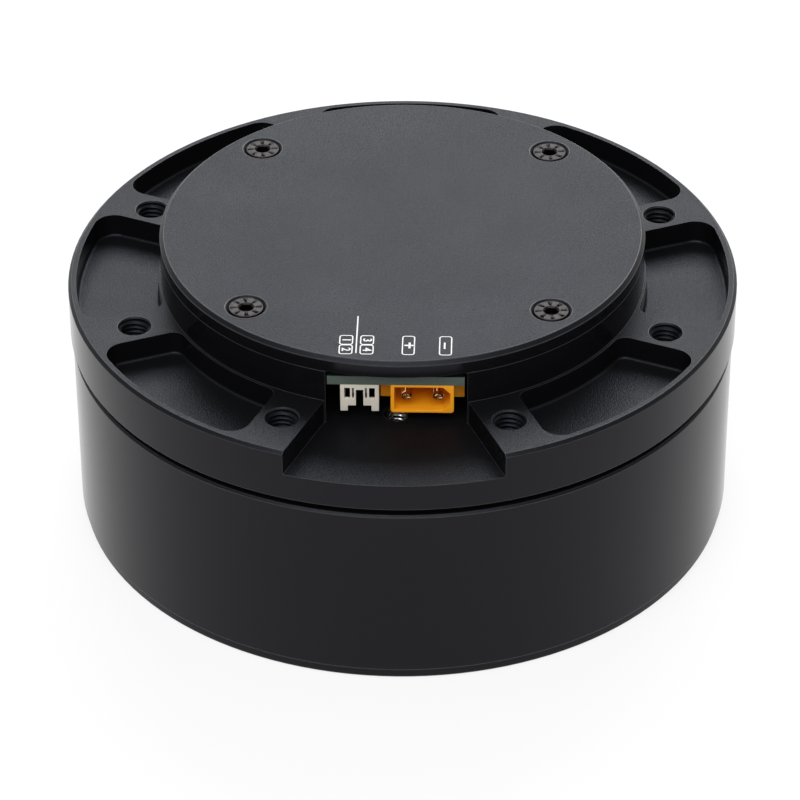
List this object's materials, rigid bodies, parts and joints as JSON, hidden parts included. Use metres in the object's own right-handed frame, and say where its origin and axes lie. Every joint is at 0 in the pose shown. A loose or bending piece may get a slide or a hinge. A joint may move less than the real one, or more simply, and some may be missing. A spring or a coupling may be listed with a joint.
{
  "type": "robot joint actuator",
  "caption": "Round low-profile robot joint actuator: brushless motor, planetary gearing and driver board in a black drum, with a tapped mounting flange and a turning output flange below.",
  "frame": {"origin": "on the actuator's axis, on the front face that it rests on", "axes": "+Z along the axis towards the rear cover, -Y towards the connector slot"},
  "size_m": [0.108, 0.108, 0.0499],
  "materials": {
    "black_anodised": "black anodised, bead blasted",
    "cover_black": "black anodised, fine blasted",
    "machined_aluminium": "clear anodised, turned",
    "black_screws": "black oxide",
    "zinc_screws": "zinc plated",
    "bearing_steel": "ground and polished",
    "gear_steel": "hardened and ground",
    "rotor_steel": "turned, oiled",
    "magnet_nickel": "nickel plated",
    "lamination": "stacked electrical steel",
    "copper_wire": "enamelled copper",
    "bronze": "sintered bronze",
    "gold_contact": "gold plated",
    "tin_contact": "tin plated",
    "white_plastic": "moulded nylon",
    "yellow_plastic": "moulded nylon",
    "insulator_plastic": "glass filled nylon",
    "washer_plastic": "peek",
    "red_wire": "silicone insulation",
    "circuit_board": "solder mask over glass fibre",
    "chip_black": "moulded epoxy",
    "capacitor_can": "bright can",
    "grey_pad": "soft filled silicone",
    "black_rubber": "nitrile"
  },
  "bodies": {
    "housing": {"drum_shell": "black_anodised", "rear_flange": "black_anodised", "rear_cover": "cover_black", "front_plate": "black_anodised", "cover_screws": "black_screws", "front_plate_screws": "black_screws", "tie_screws": "black_screws", "ring_gear_screws": "black_screws", "board_screws": "zinc_screws", "flange_o_ring": "black_rubber", "output_seal": "black_rubber", "main_bearing_outer_race": "bearing_steel", "rear_bearing_outer_race": "bearing_steel", "preload_washer": "bearing_steel", "ring_gear": "gear_steel", "stator_core": "lamination", "stator_insulator_front": "insulator_plastic", "stator_insulator_rear": "insulator_plastic", "stator_coils": "copper_wire", "phase_leads": "red_wire", "driver_board": "circuit_board", "power_chips": "chip_black", "thermal_pad": "grey_pad", "motor_controller_chip": "chip_black", "gate_driver_chip": "chip_black", "encoder_chip": "chip_black", "current_shunts": "chip_black", "bulk_capacitors": "capacitor_can", "power_connector": "yellow_plastic", "power_pins": "gold_contact", "signal_connector": "white_plastic", "signal_pins": "tin_contact"},
    "output": {"output_flange": "machined_aluminium", "planet_carrier": "gear_steel", "output_flange_screws": "black_screws", "carrier_rear_plate": "gear_steel", "carrier_screws": "black_screws", "planet_pins": "bearing_steel", "planet_washers": "washer_plastic", "pilot_bush": "bronze", "main_bearing_inner_race": "bearing_steel"},
    "rotor": {"sun_shaft": "gear_steel", "rotor_hub": "rotor_steel", "hub_screws": "black_screws", "rotor_magnets": "magnet_nickel", "encoder_magnet": "magnet_nickel", "encoder_magnet_holder": "machined_aluminium", "rear_bearing_inner_race": "bearing_steel"},
    "planet_1": {"planet_gear_1": "gear_steel", "planet_bush_1": "bronze"},
    "planet_2": {"planet_gear_2": "gear_steel", "planet_bush_2": "bronze"},
    "planet_3": {"planet_gear_3": "gear_steel", "planet_bush_3": "bronze"},
    "main_rollers": {"main_bearing_rollers": "bearing_steel"},
    "rear_balls": {"rear_bearing_balls": "bearing_steel", "rear_bearing_cage": "bronze"}
  },
  "joints": [
    {"name": "rotor_spin", "type": "hinge", "parent": "housing", "child": "rotor", "pos_m": [0, 0, 0], "axis": [0, 0, 1], "continuous": true},
    {"name": "output_turn", "type": "hinge", "parent": "housing", "child": "output", "pos_m": [0, 0, 0], "axis": [0, 0, 1], "continuous": true},
    {"name": "planet_1_spin", "type": "hinge", "parent": "output", "child": "planet_1", "pos_m": [0.0135, 0, 0], "axis": [0, 0, 1], "continuous": true},
    {"name": "planet_2_spin", "type": "hinge", "parent": "output", "child": "planet_2", "pos_m": [-0.00675, 0.01169, 0], "axis": [0, 0, 1], "continuous": true},
    {"name": "planet_3_spin", "type": "hinge", "parent": "output", "child": "planet_3", "pos_m": [-0.00675, -0.01169, 0], "axis": [0, 0, 1], "continuous": true},
    {"name": "main_rollers_roll", "type": "hinge", "parent": "housing", "child": "main_rollers", "pos_m": [0, 0, 0], "axis": [0, 0, 1], "continuous": true},
    {"name": "rear_balls_roll", "type": "hinge", "parent": "housing", "child": "rear_balls", "pos_m": [0, 0, 0], "axis": [0, 0, 1], "continuous": true}
  ],
  "couplings": [
    {"joint": "output_turn", "follows": "rotor_spin", "ratio": 0.16667},
    {"joint": "planet_1_spin", "follows": "rotor_spin", "ratio": -0.41667},
    {"joint": "planet_2_spin", "follows": "rotor_spin", "ratio": -0.41667},
    {"joint": "planet_3_spin", "follows": "rotor_spin", "ratio": -0.41667},
    {"joint": "main_rollers_roll", "follows": "rotor_spin", "ratio": 0.079442},
    {"joint": "rear_balls_roll", "follows": "rotor_spin", "ratio": 0.42788}
  ]
}
